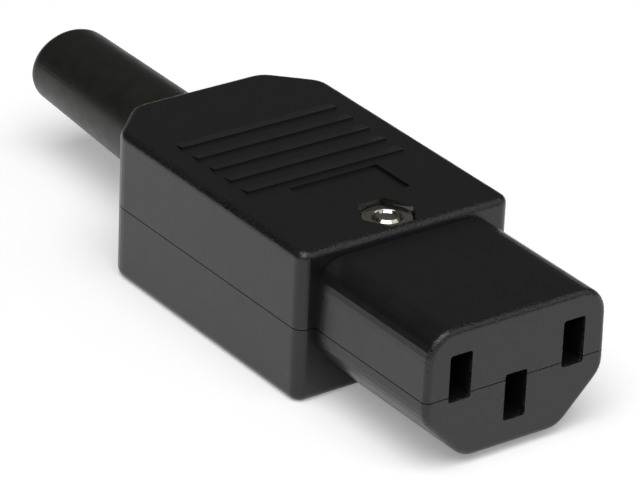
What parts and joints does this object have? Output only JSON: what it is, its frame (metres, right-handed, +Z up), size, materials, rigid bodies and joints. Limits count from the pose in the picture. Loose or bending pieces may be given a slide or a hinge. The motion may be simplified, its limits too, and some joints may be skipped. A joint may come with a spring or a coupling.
{
  "type": "c13 power connector",
  "caption": "Rewireable straight mains connector: black two-part moulded body with a chamfered apertured nose, raised finger grip ribs, recessed nut and leaning tapered rubber cable guard.",
  "frame": {"origin": "middle of the body's flat underside, the face it rests on", "axes": "+X out of the mating face, away from the cable; +Z up, from the underside to the face with the finger grip ribs; +Y across"},
  "size_m": [0.0829, 0.0262, 0.0171],
  "materials": {
    "moulded_black": "satin, finely textured moulding",
    "guard_rubber": "smooth matt",
    "clamp_plastic": "smooth",
    "contact_brass": "stamped and folded",
    "box_brass": "machined",
    "steel": "zinc plated",
    "nickel": "bright nickel plate"
  },
  "bodies": {
    "root": {"lower_shell": "moulded_black", "upper_shell": "moulded_black", "cable_guard": "guard_rubber", "cord_clamp": "clamp_plastic", "clamp_screw_left": "steel", "clamp_screw_right": "steel", "housing_screw": "nickel", "housing_nut": "nickel", "line_contact": "contact_brass", "neutral_contact": "contact_brass", "earth_contact": "contact_brass", "line_terminal_box": "box_brass", "neutral_terminal_box": "box_brass", "earth_terminal_box": "box_brass", "line_wire_guard": "steel", "neutral_wire_guard": "steel", "earth_wire_guard": "steel", "line_terminal_screw": "steel", "neutral_terminal_screw": "steel", "earth_terminal_screw": "steel"}
  },
  "joints": []
}
